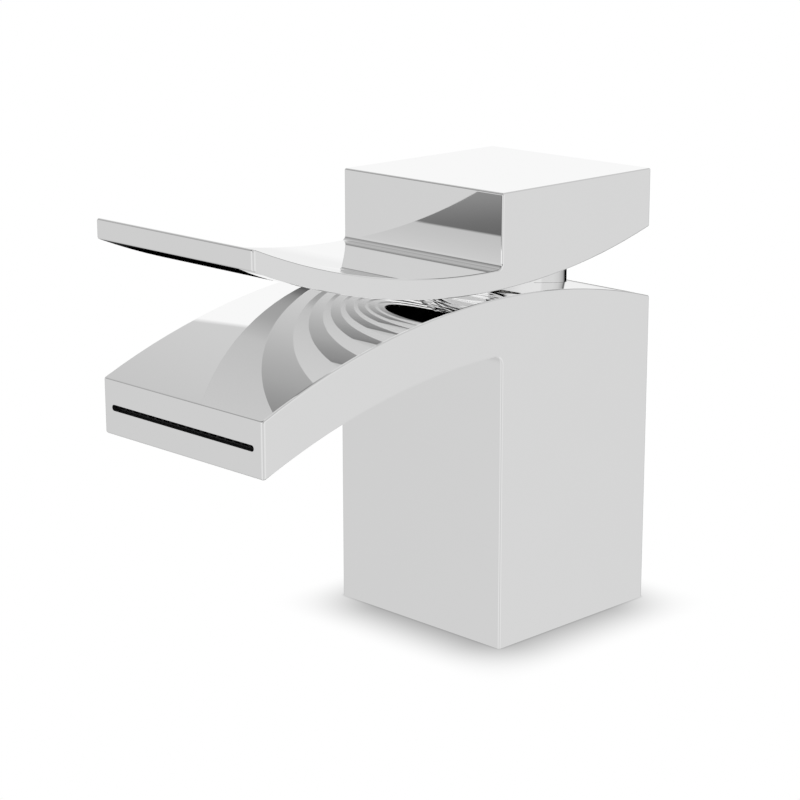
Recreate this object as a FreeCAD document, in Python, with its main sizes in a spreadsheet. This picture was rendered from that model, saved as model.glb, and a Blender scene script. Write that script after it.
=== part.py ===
import FreeCAD, Part
import math
import os
import re

import Sketcher
from FreeCAD import Placement, Rotation, Vector

# Single-lever basin mixer, in millimetres and degrees
# The origin is the middle of the column's foot on the deck, +Z is up and the spout points to -Y

# Driving sizes
SIZES = {
    # column and arched spout
    "body_width": 60.6,
    "column_depth": 59.3,
    "crest_height": 96.0,
    "crest_setback": 0.7,
    "top_radius": 203.0,
    "underside_radius": 213.0,
    "spout_thickness": 15.75,
    "spout_reach": 111.5,
    "edge_radius": 0.6,
    "corner_radius": 0.85,
    "throat_radius": 2.5,
    # hollow of the spout and its outlet slot
    "spout_wall": 3.5,
    "side_wall": 3.0,
    "nose_wall": 7.5,
    "slot_width": 54.0,
    "slot_height": 1.6,
    "strip_depth": 4.5,
    "strip_setback": 1.6,
    "strip_play": 0.05,
    "strip_holes": 18.0,
    "strip_hole_width": 2.2,
    "strip_hole_height": 0.9,
    # water ways and fixing under the base
    "inlet_spacing": 14.4,
    "inlet_setback": 5.8,
    "inlet_thread_radius": 4.5,
    "inlet_thread_depth": 12.0,
    "inlet_radius": 2.6,
    "outlet_setback": 6.0,
    "outlet_radius": 3.2,
    "outlet_depth": 9.5,
    "gallery_radius": 2.8,
    "riser_radius": 2.5,
    "riser_wall": 2.5,
    "stud_setback": 12.0,
    "stud_radius": 3.4,
    "stud_depth": 14.0,
    "base_hollow_radius": 21.0,
    "base_hollow_depth": 30.0,
    "base_seal_radius": 23.5,
    "base_seal_width": 3.0,
    "base_seal_height": 1.9,
    "groove_play": 0.1,
    # cartridge shell
    "cartridge_radius": 17.4,
    "bore_play": 0.2,
    "seat_depth": 38.5,
    "base_flange": 2.5,
    "base_spigot": 2.5,
    "chamber_radius": 15.9,
    "spigot_play": 0.3,
    "housing_roof": 2.0,
    "neck_radius": 14.0,
    "neck_height": 9.0,
    "peg_radius": 2.0,
    "peg_length": 3.0,
    "peg_offset": 11.0,
    "peg_setback": 5.0,
    "peg_play": 0.1,
    "seal_section": 0.7,
    "seal_land": 0.2,
    # ceramic discs and their slider
    "disc_thickness": 4.0,
    "fixed_disc_radius": 15.0,
    "moving_disc_radius": 12.0,
    "film": 0.05,
    "disc_rest": 0.9,
    "disc_inlet_offset": 5.8,
    "disc_inlet_radius": 2.3,
    "disc_outlet_setback": 3.5,
    "mixing_radius": 5.4,
    "mixing_setback": 0.85,
    "mixing_depth": 2.2,
    "key_width": 4.0,
    "key_depth": 1.4,
    "key_height": 2.5,
    "key_play": 0.1,
    "carrier_radius": 11.8,
    "carrier_height": 7.3,
    "carrier_floor": 1.2,
    "carrier_plate": 3.3,
    "carrier_flat": 8.1,
    "slide_play": 0.2,
    "drive_peg_radius": 1.5,
    "drive_peg_length": 2.0,
    "drive_peg_offset": 7.0,
    # rotor, pivot and stem
    "rotor_radius": 12.0,
    "rotor_play": 0.05,
    "rotor_flange": 3.0,
    "rotor_flange_radius": 15.3,
    "turn_play": 0.1,
    "leg_width": 2.7,
    "leg_length": 10.0,
    "stop_height": 2.0,
    "stop_width": 5.0,
    "stop_reach": 1.4,
    "stop_play": 2.0,
    "limit_ring_play": 0.4,
    "limit_ring_inset": 0.1,
    "pin_radius": 1.5,
    "pin_play": 0.05,
    "pin_press": 0.01,
    "pin_inset": 0.6,
    "pin_chamfer": 0.3,
    "stem_side": 8.0,
    "stem_foot": 5.0,
    "stem_play": 0.05,
    "stem_chamfer": 0.6,
    "slot_play": 0.5,
    "slot_side_play": 0.1,
    "arm_radius": 1.9,
    "ball_radius": 3.0,
    "ball_arm": 11.0,
    "ball_play": 0.3,
    "ball_side_play": 0.12,
    "tilt_limit": 22.0,
    "swing_limit": 45.0,
    # nut and collar
    "nut_thread_radius": 18.95,
    "nut_thread_play": 0.05,
    "nut_thread_length": 5.0,
    "nut_neck_radius": 16.6,
    "nut_neck_height": 6.0,
    "nut_bore_play": 0.3,
    "nut_notches": 6.0,
    "nut_notch_width": 3.0,
    "nut_notch_depth": 2.0,
    "collar_radius": 19.5,
    "collar_wall": 2.5,
    "collar_height": 14.0,
    "collar_lip": 1.8,
    "collar_lip_height": 1.4,
    "collar_edge": 1.0,
    "collar_hole_play": 0.2,
    "collar_seal_section": 0.78,
    "collar_seal_play": 0.02,
    "collar_seal_rise": 2.8,
    # handle and lever
    "handle_inset": 0.9,
    "handle_overhang": 0.3,
    "handle_setback": 0.75,
    "handle_roof": 4.9,
    "lever_gap": 1.3,
    "lever_radius": 211.3,
    "lever_crest_offset": 1.5,
    "lever_thickness": 5.3,
    "lever_overhang": 1.3,
    "root_radius": 1.5,
    "pocket_clearance": 0.6,
    "socket_depth": 8.5,
    "socket_play": 0.3,
    "screw_radius": 2.5,
    "screw_length": 12.0,
    "screw_play": 0.05,
    "screw_socket": 1.4,
    "screw_socket_depth": 3.0,
    "plug_radius": 4.0,
    "plug_head": 2.4,
    "plug_shank": 3.0,
    "plug_play": 0.1,
}

# Sizes and levels that follow from the driving ones
DERIVED = {
    # outline of column and spout
    "half_width": "body_width / 2",
    "half_depth": "column_depth / 2",
    "crest_lead": "half_depth - crest_setback",
    "top_centre": "crest_height - top_radius",
    "back_top": "top_centre + sqrt(top_radius^2 - (half_depth + crest_lead)^2)",
    "nose_top": "top_centre + sqrt(top_radius^2 - (spout_reach - crest_lead)^2)",
    "throat_top": "crest_height - spout_thickness",
    "underside_centre": "throat_top - underside_radius",
    "nose_bottom": "underside_centre + sqrt(underside_radius^2 - (spout_reach - half_depth)^2)",
    # hollow of the spout and its outlet slot
    "slot_level": "(nose_top + nose_bottom) / 2",
    "slot_radius": "slot_height / 2",
    "slot_end": "slot_width / 2 - slot_radius",
    "hollow_front": "spout_reach - nose_wall",
    "riser_lead": "half_depth - riser_wall - riser_radius",
    "hollow_top_front": "top_centre + sqrt((top_radius - spout_wall)^2 - (hollow_front - crest_lead)^2)",
    "hollow_top_back": "top_centre + sqrt((top_radius - spout_wall)^2 - (riser_lead - crest_lead)^2)",
    "hollow_low_front": "underside_centre"
    " + sqrt((underside_radius + spout_wall)^2 - (hollow_front - half_depth)^2)",
    "hollow_low_back": "underside_centre"
    " + sqrt((underside_radius + spout_wall)^2 - (half_depth - riser_lead)^2)",
    "strip_radius": "slot_radius - strip_play",
    "strip_front": "spout_reach - strip_setback",
    # place of the two inlets
    "port_offset": "inlet_spacing / 2",
    # levels of the cartridge, from its seat upwards
    "seat_height": "crest_height - seat_depth",
    "outlet_level": "seat_height - outlet_depth",
    "flange_top": "seat_height + base_flange",
    "base_top": "flange_top + base_spigot",
    "fixed_top": "base_top + disc_thickness",
    "moving_bottom": "fixed_top + film",
    "moving_top": "moving_bottom + disc_thickness",
    "socket_floor": "moving_top + carrier_floor",
    "ball_level": "socket_floor + ball_play + ball_radius",
    "pivot_height": "ball_level + ball_arm",
    "carrier_shelf": "moving_top + carrier_plate",
    "carrier_top": "moving_top + carrier_height",
    "rotor_bottom": "carrier_top + slide_play",
    "rotor_flange_top": "rotor_bottom + rotor_flange",
    "chamber_top": "rotor_flange_top + turn_play",
    "housing_shoulder": "chamber_top + housing_roof",
    "neck_top": "housing_shoulder + neck_height",
    "rotor_top": "neck_top + stop_height",
    "nut_shoulder": "housing_shoulder + nut_thread_length",
    "nut_top": "nut_shoulder + nut_neck_height",
    "collar_top": "nut_shoulder + collar_height",
    "collar_lip_level": "collar_top - collar_lip_height",
    # radii of the cartridge and its bore
    "bore_radius": "cartridge_radius + bore_play",
    "nut_bore_thread": "nut_thread_radius + nut_thread_play",
    "collar_hole": "collar_radius + collar_hole_play",
    "spigot_radius": "chamber_radius - spigot_play",
    "bearing_radius": "rotor_radius + rotor_play",
    "nut_bore": "neck_radius + nut_bore_play",
    "collar_inner": "collar_radius - collar_wall",
    "collar_mouth": "collar_inner - collar_lip",
    "seal_ring_radius": "collar_inner - collar_seal_play - collar_seal_section",
    "seal_groove_radius": "seal_ring_radius - collar_seal_section - collar_seal_play",
    "seal_groove_level": "nut_shoulder + collar_seal_rise",
    "seal_groove_half": "collar_seal_section + collar_seal_play",
    # slot that the stem swings in, as wide as the tilted stem at every level
    "stem_half": "stem_side / 2",
    "leaning_half": "stem_half / cos(tilt_limit * 1 deg)",
    "slot_upright": "stem_half + slot_play",
    "slot_waist": "leaning_half + slot_play",
    "slot_above": "slot_waist + (rotor_top - pivot_height) * tan(tilt_limit * 1 deg)",
    "slot_below": "slot_waist + (pivot_height - rotor_bottom) * tan(tilt_limit * 1 deg)",
    "stop_half_angle": "asin(stop_width / 2 / rotor_radius) / 1 deg",
    "limit_gap_half": "swing_limit + stop_half_angle + stop_play",
    # handle: pocket that clears the tilting collar, socket and outline
    "collar_rise": "collar_top - pivot_height",
    "pocket_radius": "collar_radius + pocket_clearance",
    "pocket_front": "collar_radius * cos(tilt_limit * 1 deg)"
    " + collar_rise * sin(tilt_limit * 1 deg) + pocket_clearance",
    "pocket_front_centre": "pocket_front - pocket_radius",
    "pocket_ceiling": "pivot_height + collar_radius * sin(tilt_limit * 1 deg)"
    " + collar_rise * cos(tilt_limit * 1 deg) + pocket_clearance",
    "socket_top": "pocket_ceiling + socket_depth",
    "socket_side": "stem_side + 2 * stem_play",
    "screw_level": "(pocket_ceiling + socket_top) / 2",
    "stem_top": "socket_top - socket_play",
    "handle_top": "socket_top + handle_roof",
    "handle_width": "body_width - 2 * handle_inset",
    "handle_half": "handle_width / 2",
    "handle_back": "half_depth + handle_overhang",
    "block_front": "half_depth - handle_setback",
    "lever_crest": "half_depth + lever_crest_offset",
    "lever_reach": "spout_reach + lever_overhang",
    "lever_centre": "crest_height + lever_gap + lever_radius",
    "lever_top_radius": "lever_radius - lever_thickness",
    "back_low": "lever_centre - sqrt(lever_radius^2 - (handle_back + lever_crest)^2)",
    "tip_low": "lever_centre - sqrt(lever_radius^2 - (lever_reach - lever_crest)^2)",
    "tip_top": "lever_centre - sqrt(lever_top_radius^2 - (lever_reach - lever_crest)^2)",
    "root_top": "lever_centre - sqrt(lever_top_radius^2 - (block_front - lever_crest)^2)",
}

# Turns that lay a cylinder, which stands along Z, along another axis
ALONG = {
    "x": Rotation(Vector(0, 1, 0), 90),
    "y": Rotation(Vector(1, 0, 0), -90),
    "z": Rotation(),
}
TOUCH = 1e-4

doc = FreeCAD.newDocument("basin_faucet")


def write_sizes():
    """Put the driving sizes into the sheet and the derived ones into a set of variables."""
    sheet = doc.addObject("Spreadsheet::Sheet", "sizes")
    for row, (name, value) in enumerate(SIZES.items(), start=1):
        sheet.set(f"A{row}", name)
        sheet.set(f"B{row}", str(value))
        sheet.setAlias(f"B{row}", name)
    doc.recompute()
    variables = doc.addObject("App::VarSet", "derived")
    for name, text in DERIVED.items():
        variables.addProperty("App::PropertyFloat", name)
        variables.setExpression(name, in_full(text))
    doc.recompute()
    return variables


def in_full(text):
    """Write out each size's name with the object that holds it."""

    def owner(match):
        word = match.group(0)
        if word in SIZES:
            return "sizes." + word
        if word in DERIVED:
            return "derived." + word
        return word

    return re.sub(r"[a-z][a-z_]*", owner, text)


def bind(piece, prop, text):
    """Tie a property to an expression of sizes."""
    piece.setExpression(prop, in_full(text))


def number(text):
    """Value of a sum of sizes, such as 'half_width - side_wall'."""
    total = 0.0
    sign = 1
    for word in text.split():
        if word in "+-":
            sign = 1 if word == "+" else -1
        elif word in SIZES:
            total += sign * SIZES[word]
        elif word in DERIVED:
            total += sign * getattr(derived, word)
        else:
            total += sign * float(word)
    return total


def new_body(label):
    """Empty body with its own label."""
    body = doc.addObject("PartDesign::Body", label)
    body.Label = label
    return body


def origin_feature(body, role):
    """Plane or axis of a body's own origin."""
    return next(item for item in body.Origin.OriginFeatures if item.Role == role)


def new_sketch(body, name, role, level=None):
    """Sketch on one of the body's origin planes, moved along its normal to a level."""
    sketch = body.newObject("Sketcher::SketchObject", name)
    sketch.AttachmentSupport = (origin_feature(body, role), "")
    sketch.MapMode = "FlatFace"
    if level:
        bind(sketch, "AttachmentOffset.Base.z", level)
    return sketch


def pin_point(sketch, side, spot, x, y):
    """Hold a point of the sketch at x and y, where either may be None."""
    for kind, text, axis in (("DistanceX", x, -2), ("DistanceY", y, -1)):
        if text == "0":
            sketch.addConstraint(Sketcher.Constraint("PointOnObject", side, spot, axis))
        elif text is not None:
            rule = Sketcher.Constraint(kind, -1, 1, side, spot, number(text))
            bind(sketch, f"Constraints[{sketch.addConstraint(rule)}]", text)


def outline(sketch, corners, arcs=None):
    """Close an outline through corners.

    arcs maps a side's number to its centre (x, y) and to the coordinate of it that is held.
    """
    arcs = arcs or {}
    spots = [Vector(number(x), number(y), 0) for x, y in corners]
    ends = []
    for side, start in enumerate(spots):
        stop = spots[(side + 1) % len(spots)]
        if side not in arcs:
            sketch.addGeometry(Part.LineSegment(start, stop))
            ends.append((1, 2))
            continue
        middle = Vector(number(arcs[side][0]), number(arcs[side][1]), 0)
        first = math.atan2(start.y - middle.y, start.x - middle.x)
        last = math.atan2(stop.y - middle.y, stop.x - middle.x)
        forward = (last - first) % (2 * math.pi) <= math.pi + TOUCH
        circle = Part.Circle(middle, Vector(0, 0, 1), (start - middle).Length)
        span = (first, last) if forward else (last, first)
        sketch.addGeometry(Part.ArcOfCircle(circle, *span))
        ends.append((1, 2) if forward else (2, 1))
    for side, (x, y) in enumerate(corners):
        before = side - 1 if side else len(corners) - 1
        joint = Sketcher.Constraint("Coincident", before, ends[before][1], side, ends[side][0])
        sketch.addConstraint(joint)
        pin_point(sketch, side, ends[side][0], x, y)
    for side, (x, y, held) in arcs.items():
        pin_point(sketch, side, 3, x if held == "x" else None, y if held == "y" else None)


def circle(sketch, x, y, radius):
    """Circle of a bound radius about x, y."""
    centre = Vector(number(x), number(y), 0)
    side = sketch.addGeometry(Part.Circle(centre, Vector(0, 0, 1), number(radius)))
    pin_point(sketch, side, 3, x, y)
    rule = Sketcher.Constraint("Radius", side, number(radius))
    bind(sketch, f"Constraints[{sketch.addConstraint(rule)}]", radius)


def extrude(body, kind, name, sketch, length, symmetric=False, reverse=False):
    """Pad or pocket of a sketch."""
    feature = body.newObject("PartDesign::" + kind, name)
    feature.Profile = sketch
    feature.SideType = "Symmetric" if symmetric else "One side"
    feature.Reversed = reverse
    bind(feature, "Length", length)
    return feature


def turn(body, kind, name, corners, arcs=None):
    """Revolution or groove about Z of an outline of radii and levels."""
    sketch = new_sketch(body, name + "_outline", "XZ_Plane")
    outline(sketch, corners, arcs)
    feature = body.newObject("PartDesign::" + kind, name)
    feature.Profile = sketch
    feature.ReferenceAxis = (sketch, ["V_Axis"])
    feature.Angle = 360
    return feature


def place(piece, base, axis="z"):
    """Put a primitive at a bound point, along an axis."""
    piece.Placement = Placement(Vector(), ALONG[axis])
    for letter, text in zip("xyz", base):
        bind(piece, f"Placement.Base.{letter}", text)


def cylinder(body, kind, name, radius, height, base, axis="z"):
    """Additive or subtractive cylinder from a base point along an axis."""
    piece = body.newObject(f"PartDesign::{kind}Cylinder", name)
    bind(piece, "Radius", radius)
    bind(piece, "Height", height)
    place(piece, base, axis)
    return piece


def box(body, kind, name, size, corner):
    """Additive or subtractive box from its lowest corner."""
    piece = body.newObject(f"PartDesign::{kind}Box", name)
    for prop, text in zip(("Length", "Width", "Height"), size):
        bind(piece, prop, text)
    place(piece, corner)
    return piece


def ring_groove(body, name, inner, outer, depth, x, y, level, reverse=False):
    """Round groove about x, y, cut from a flat face at a level."""
    sketch = new_sketch(body, name + "_rings", "XY_Plane", level)
    circle(sketch, x, y, inner)
    circle(sketch, x, y, outer)
    return extrude(body, "Pocket", name, sketch, depth, reverse=reverse)


def rounded(body, name, feature, radius, chosen):
    """Fillet on the edges of a feature whose middle passes a test."""
    doc.recompute()
    names = []
    for count, edge in enumerate(feature.Shape.Edges, start=1):
        middle = edge.valueAt((edge.FirstParameter + edge.LastParameter) / 2)
        if chosen(middle):
            names.append(f"Edge{count}")
    fillet = body.newObject("PartDesign::Fillet", name)
    fillet.Base = (feature, names)
    bind(fillet, "Radius", radius)
    return fillet


def near(value, text):
    """Whether a coordinate is at a sum of sizes."""
    return abs(value - number(text)) < TOUCH


def ring(label, major, minor, base):
    """Round ring of rubber."""
    torus = doc.addObject("Part::Torus", label)
    bind(torus, "Radius1", major)
    bind(torus, "Radius2", minor)
    place(torus, base)
    return torus


def group(label, members):
    """Separate solids that share one node."""
    compound = doc.addObject("Part::Compound", label)
    compound.Label = label
    compound.Links = members
    return compound


# Body: column and arched spout in one casting
def make_body():
    body = new_body("body")
    side_view = new_sketch(body, "side_view", "YZ_Plane")
    outline(
        side_view,
        [
            ("- half_depth", "0"),
            ("half_depth", "0"),
            ("half_depth", "back_top"),
            ("- spout_reach", "nose_top"),
            ("- spout_reach", "nose_bottom"),
            ("- half_depth", "throat_top"),
        ],
        {
            2: ("- crest_lead", "top_centre", "y"),
            4: ("- half_depth", "underside_centre", "y"),
        },
    )
    casting = extrude(body, "Pad", "casting", side_view, "body_width", symmetric=True)

    def in_throat(spot):
        return near(spot.x, "0") and near(spot.y, "- half_depth") and spot.z > TOUCH

    def at_nose_corner(spot):
        return near(abs(spot.x), "half_width") and near(spot.y, "- spout_reach")

    def outside(spot):
        on_side = near(abs(spot.x), "half_width") and spot.z > TOUCH
        beside_corner = near(spot.y, "corner_radius - spout_reach")
        on_back = near(spot.x, "0") and near(spot.y, "half_depth") and spot.z > TOUCH
        on_nose = near(spot.x, "0") and near(spot.y, "- spout_reach")
        return (on_side and not beside_corner) or on_back or on_nose

    throat = rounded(body, "throat", casting, "throat_radius", in_throat)
    corners = rounded(body, "nose_corners", throat, "corner_radius", at_nose_corner)
    rounded(body, "edges", corners, "edge_radius", outside)
    add_cartridge_bore(body)
    add_water_ways(body)
    add_base_details(body)
    return body


def add_cartridge_bore(body):
    """Stepped bore for the cartridge, the nut's thread and the collar."""
    turn(
        body,
        "Groove",
        "cartridge_bore",
        [
            ("0", "seat_height"),
            ("bore_radius", "seat_height"),
            ("bore_radius", "housing_shoulder"),
            ("nut_bore_thread", "housing_shoulder"),
            ("nut_bore_thread", "nut_shoulder"),
            ("collar_hole", "nut_shoulder"),
            ("collar_hole", "crest_height + edge_radius"),
            ("0", "crest_height + edge_radius"),
        ],
    )
    for side, sign in (("left", "-"), ("right", "")):
        cylinder(
            body,
            "Subtractive",
            f"peg_hole_{side}",
            "peg_radius + peg_play",
            "peg_length + peg_play",
            (f"{sign}peg_offset", "peg_setback", "seat_height - peg_length - peg_play"),
        )


def add_water_ways(body):
    """Two inlets, the outlet gallery and riser, the spout's hollow and its slot."""
    for side, sign in (("left", "-"), ("right", "")):
        cylinder(
            body,
            "Subtractive",
            f"inlet_thread_{side}",
            "inlet_thread_radius",
            "inlet_thread_depth",
            (f"{sign}port_offset", "-inlet_setback", "base_hollow_depth"),
        )
        cylinder(
            body,
            "Subtractive",
            f"inlet_{side}",
            "inlet_radius",
            "seat_height - base_hollow_depth",
            (f"{sign}port_offset", "-inlet_setback", "base_hollow_depth"),
        )
    cylinder(
        body,
        "Subtractive",
        "outlet_drop",
        "outlet_radius",
        "outlet_depth",
        ("0", "outlet_setback", "outlet_level"),
    )
    cylinder(
        body,
        "Subtractive",
        "gallery",
        "gallery_radius",
        "riser_lead + outlet_setback",
        ("0", "-riser_lead", "outlet_level"),
        "y",
    )
    cylinder(
        body,
        "Subtractive",
        "riser",
        "riser_radius",
        "hollow_low_back + spout_wall - outlet_level",
        ("0", "-riser_lead", "outlet_level"),
    )
    hollow_view = new_sketch(body, "hollow_view", "YZ_Plane")
    outline(
        hollow_view,
        [
            ("- riser_lead", "hollow_low_back"),
            ("- riser_lead", "hollow_top_back"),
            ("- hollow_front", "hollow_top_front"),
            ("- hollow_front", "hollow_low_front"),
        ],
        {
            1: ("- crest_lead", "top_centre", "y"),
            3: ("- half_depth", "underside_centre", "y"),
        },
    )
    extrude(body, "Pocket", "hollow", hollow_view, "body_width - 2 * side_wall", symmetric=True)
    slot_view = new_sketch(body, "slot_view", "XZ_Plane", "spout_reach")
    flat_oval(slot_view, "slot_end", "slot_level", "slot_radius")
    extrude(body, "Pocket", "outlet_slot", slot_view, "nose_wall + slot_height")


def flat_oval(sketch, end, level, radius):
    """Level slot outline with round ends, about the middle plane."""
    outline(
        sketch,
        [
            (f"- {end}", f"{level} - {radius}"),
            (end, f"{level} - {radius}"),
            (end, f"{level} + {radius}"),
            (f"- {end}", f"{level} + {radius}"),
        ],
        {1: (end, level, "x"), 3: (f"- {end}", level, "x")},
    )


def add_base_details(body):
    """Hollow for the hoses, the stud hole in its roof and the groove for the base seal."""
    cylinder(body, "Subtractive", "base_hollow", "base_hollow_radius", "base_hollow_depth", ("0", "0", "0"))
    cylinder(
        body,
        "Subtractive",
        "stud_hole",
        "stud_radius",
        "stud_depth",
        ("0", "stud_setback", "base_hollow_depth"),
    )
    ring_groove(
        body,
        "base_groove",
        "base_seal_radius",
        "base_seal_radius + base_seal_width + groove_play",
        "base_seal_height + groove_play",
        "0",
        "0",
        None,
        reverse=True,
    )


# Strip of small holes in the slot, which spreads the water
def make_outlet_strip():
    body = new_body("outlet_strip")
    front = new_sketch(body, "front_view", "XZ_Plane", "strip_front")
    flat_oval(front, "slot_end", "slot_level", "strip_radius")
    extrude(body, "Pad", "strip", front, "strip_depth", reverse=True)
    first = box(
        body,
        "Subtractive",
        "hole",
        ("strip_hole_width", "strip_depth", "strip_hole_height"),
        (
            "-slot_end",
            "-strip_front",
            "slot_level - strip_hole_height / 2",
        ),
    )
    holes = body.newObject("PartDesign::LinearPattern", "holes")
    holes.Originals = [first]
    holes.Direction = (origin_feature(body, "X_Axis"), [""])
    bind(holes, "Length", "2 * slot_end - strip_hole_width")
    bind(holes, "Occurrences", "strip_holes")
    body.Tip = holes
    return body


# Flat ring in the groove under the base
def make_base_seal():
    body = new_body("base_seal")
    inner = "base_seal_radius + groove_play"
    outer = "base_seal_radius + base_seal_width"
    turn(
        body,
        "Revolution",
        "seal",
        [(inner, "0"), (outer, "0"), (outer, "base_seal_height"), (inner, "base_seal_height")],
    )
    return body


# Cartridge foot, with stepped ports, seal grooves, pegs and keys
def make_cartridge_base():
    body = new_body("cartridge_base")
    turn(
        body,
        "Revolution",
        "foot",
        [
            ("0", "seat_height"),
            ("cartridge_radius", "seat_height"),
            ("cartridge_radius", "flange_top"),
            ("spigot_radius", "flange_top"),
            ("spigot_radius", "base_top"),
            ("0", "base_top"),
        ],
    )
    for side, sign in (("left", "-"), ("right", "")):
        cylinder(
            body,
            "Additive",
            f"peg_{side}",
            "peg_radius",
            "peg_length",
            (f"{sign}peg_offset", "peg_setback", "seat_height - peg_length"),
        )
        reach = "fixed_disc_radius - key_depth"
        corner = reach if side == "right" else "-spigot_radius"
        box(
            body,
            "Additive",
            f"key_{side}",
            (f"spigot_radius - {reach.replace('-', '+')}", "key_width", "key_height"),
            (corner, "-key_width / 2", "base_top"),
        )
    for name, x, y, radius in body_ports():
        cylinder(body, "Subtractive", f"lower_{name}", radius, "base_flange", (x, y, "seat_height"))
        inner = f"{radius} + seal_land"
        outer = f"{inner} + seal_section + seal_section"
        ring_groove(
            body, f"lower_groove_{name}", inner, outer, "2 * seal_section", x, y, "seat_height", True
        )
    for name, x, y, radius in disc_ports():
        cylinder(body, "Subtractive", f"upper_{name}", radius, "base_spigot", (x, y, "flange_top"))
        inner = f"{radius} + seal_land"
        outer = f"{inner} + seal_section + seal_section"
        ring_groove(body, f"upper_groove_{name}", inner, outer, "2 * seal_section", x, y, "base_top")
    return body


def body_ports():
    """Name, place and radius of the three ports in the cartridge seat."""
    return (
        ("inlet_left", "- port_offset", "- inlet_setback", "inlet_radius"),
        ("inlet_right", "port_offset", "- inlet_setback", "inlet_radius"),
        ("outlet", "0", "outlet_setback", "outlet_radius"),
    )


def disc_ports():
    """Name, place and radius of the three ports in the fixed disc."""
    return (
        ("inlet_left", "- disc_inlet_offset", "- disc_inlet_offset", "disc_inlet_radius"),
        ("inlet_right", "disc_inlet_offset", "- disc_inlet_offset", "disc_inlet_radius"),
        ("outlet", "0", "disc_outlet_setback", "outlet_radius"),
    )


# Rings under the cartridge foot and under the fixed disc
def make_seals():
    nodes = []
    for label, ports, level in (
        ("port_seals", body_ports(), "seat_height + seal_section"),
        ("disc_seals", disc_ports(), "base_top - seal_section"),
    ):
        rings = [
            ring(f"{label}_{name}", f"{radius} + seal_land + seal_section", "seal_section", (x, y, level))
            for name, x, y, radius in ports
        ]
        nodes.append(group(label, rings))
    return nodes


# Fixed ceramic disc, with three ports and two notches for the keys
def make_fixed_disc():
    body = new_body("fixed_disc")
    plan = new_sketch(body, "plan", "XY_Plane", "base_top")
    circle(plan, "0", "0", "fixed_disc_radius")
    for _, x, y, radius in disc_ports():
        circle(plan, x, y, radius)
    extrude(body, "Pad", "disc", plan, "disc_thickness")
    for side in ("left", "right"):
        inner = "fixed_disc_radius - key_depth - key_play"
        box(
            body,
            "Subtractive",
            f"notch_{side}",
            ("key_depth + 2 * key_play", "key_width + 2 * key_play", "disc_thickness"),
            (
                inner if side == "right" else "-fixed_disc_radius - key_play",
                "-key_width / 2 - key_play",
                "base_top",
            ),
        )
    return body


# Moving ceramic disc, with the mixing pocket below and two drive holes above
def make_moving_disc():
    body = new_body("moving_disc")
    plan = new_sketch(body, "plan", "XY_Plane", "moving_bottom")
    circle(plan, "0", "disc_rest", "moving_disc_radius")
    extrude(body, "Pad", "disc", plan, "disc_thickness")
    cylinder(
        body,
        "Subtractive",
        "mixing_pocket",
        "mixing_radius",
        "mixing_depth",
        ("0", "mixing_setback", "moving_bottom"),
    )
    for side, sign in (("left", "-"), ("right", "")):
        cylinder(
            body,
            "Subtractive",
            f"drive_hole_{side}",
            "drive_peg_radius + peg_play",
            "drive_peg_length + peg_play",
            (f"{sign}drive_peg_offset", "disc_rest", "moving_top - drive_peg_length - peg_play"),
        )
    return body


# Slider that drags the moving disc, with two flats and a socket for the ball
def make_disc_carrier():
    body = new_body("disc_carrier")
    plan = new_sketch(body, "plan", "XY_Plane", "moving_top")
    circle(plan, "0", "disc_rest", "carrier_radius")
    extrude(body, "Pad", "slider", plan, "carrier_height")
    for side, sign in (("left", "-"), ("right", "")):
        box(
            body,
            "Subtractive",
            f"flat_{side}",
            ("carrier_radius - carrier_flat", "2 * carrier_radius", "carrier_height - carrier_plate"),
            (
                "-carrier_radius" if sign else "carrier_flat",
                "disc_rest - carrier_radius",
                "carrier_shelf",
            ),
        )
        cylinder(
            body,
            "Additive",
            f"drive_peg_{side}",
            "drive_peg_radius",
            "drive_peg_length",
            (f"{sign}drive_peg_offset", "disc_rest", "moving_top - drive_peg_length"),
        )
    box(
        body,
        "Subtractive",
        "socket",
        (
            "2 * (ball_radius + ball_play)",
            "2 * (ball_radius + ball_side_play)",
            "carrier_height - carrier_floor",
        ),
        ("-ball_radius - ball_play", "-ball_radius - ball_side_play", "socket_floor"),
    )
    return body


# Shell of the cartridge, with the chamber for the discs and the rotor's bearing
def make_cartridge_housing():
    body = new_body("cartridge_housing")
    turn(
        body,
        "Revolution",
        "shell",
        [
            ("chamber_radius", "flange_top"),
            ("cartridge_radius", "flange_top"),
            ("cartridge_radius", "housing_shoulder"),
            ("neck_radius", "housing_shoulder"),
            ("neck_radius", "neck_top"),
            ("bearing_radius", "neck_top"),
            ("bearing_radius", "chamber_top"),
            ("chamber_radius", "chamber_top"),
        ],
    )
    return body


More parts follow.
